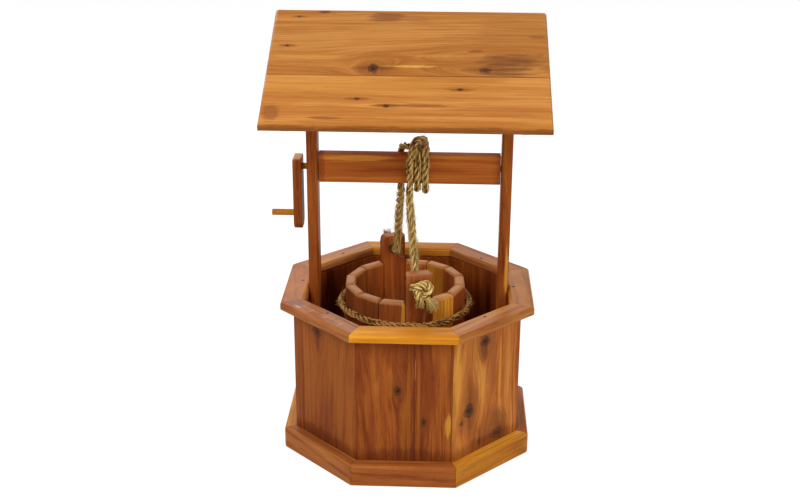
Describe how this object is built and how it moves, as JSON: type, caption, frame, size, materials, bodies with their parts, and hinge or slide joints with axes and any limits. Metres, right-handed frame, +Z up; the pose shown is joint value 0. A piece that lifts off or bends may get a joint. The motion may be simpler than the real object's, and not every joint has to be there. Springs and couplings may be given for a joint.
{
  "type": "wishing well planter",
  "caption": "Eight-sided wooden well planter with a pitched roof on two posts, a winch with a crank, and a staved bucket hanging on a rope.",
  "frame": {"origin": "centre of the well on the surface it stands on, at the middle of the underside of the batten that crosses the base", "axes": "+Z up along the well's axis, -Y towards the front slope of the roof, +X to the right of a viewer at the front, so the crank is towards -X"},
  "size_m": [0.3964, 0.4212, 0.6598],
  "materials": {
    "cedar_wall": "satin",
    "cedar_top_trim": "satin",
    "cedar_base_trim": "satin",
    "cedar_floor": "matte",
    "cedar_frame": "satin",
    "cedar_roof": "satin",
    "cedar_bucket": "satin",
    "dowel_wood": "satin",
    "rope": "matte"
  },
  "bodies": {
    "well": {"wall_board_front": "cedar_wall", "wall_board_front_right": "cedar_wall", "wall_board_right": "cedar_wall", "wall_board_back_right": "cedar_wall", "wall_board_back": "cedar_wall", "wall_board_back_left": "cedar_wall", "wall_board_left": "cedar_wall", "wall_board_front_left": "cedar_wall", "top_trim_front": "cedar_top_trim", "top_trim_front_right": "cedar_top_trim", "top_trim_right": "cedar_top_trim", "top_trim_back_right": "cedar_top_trim", "top_trim_back": "cedar_top_trim", "top_trim_back_left": "cedar_top_trim", "top_trim_left": "cedar_top_trim", "top_trim_front_left": "cedar_top_trim", "base_trim_front": "cedar_base_trim", "base_trim_front_right": "cedar_base_trim", "base_trim_right": "cedar_base_trim", "base_trim_back_right": "cedar_base_trim", "base_trim_back": "cedar_base_trim", "base_trim_back_left": "cedar_base_trim", "base_trim_left": "cedar_base_trim", "base_trim_front_left": "cedar_base_trim", "floor_panel": "cedar_floor", "floor_batten": "cedar_floor", "post_left": "cedar_frame", "post_right": "cedar_frame", "gable_left": "cedar_frame", "gable_right": "cedar_frame", "roof_front_upper": "cedar_roof", "roof_front_lower": "cedar_roof", "roof_back_upper": "cedar_roof", "roof_back_lower": "cedar_roof", "rope_leg_back": "rope", "rope_leg_front": "rope"},
    "winch": {"winch_beam": "cedar_frame", "crank_axle": "dowel_wood", "far_axle": "dowel_wood", "crank_arm": "cedar_frame", "crank_handle": "dowel_wood", "rope_wraps": "rope"},
    "bucket": {"bucket_bottom": "cedar_bucket", "stave_1": "cedar_bucket", "stave_2": "cedar_bucket", "stave_3": "cedar_bucket", "stave_4": "cedar_bucket", "stave_5": "cedar_bucket", "stave_6": "cedar_bucket", "stave_8": "cedar_bucket", "stave_9": "cedar_bucket", "stave_10": "cedar_bucket", "stave_11": "cedar_bucket", "stave_12": "cedar_bucket", "stave_13": "cedar_bucket", "ear_stave_front": "cedar_bucket", "ear_stave_back": "cedar_bucket", "rope_hoop": "rope", "rope_knot_front": "rope", "rope_knot_back": "rope"}
  },
  "joints": [
    {"name": "bucket_lift", "type": "slide", "parent": "well", "child": "bucket", "axis": [0, 0, 1], "range_m": [0, 0.0787], "deforming": ["rope_leg_back", "rope_leg_front"]},
    {"name": "winch_turn", "type": "hinge", "parent": "well", "child": "winch", "pos_m": [0, 0, 0.43], "axis": [-1, 0, 0], "range_deg": [0, 180]}
  ],
  "couplings": [
    {"joint": "winch_turn", "follows": "bucket_lift", "rad_per_m": 39.9}
  ]
}
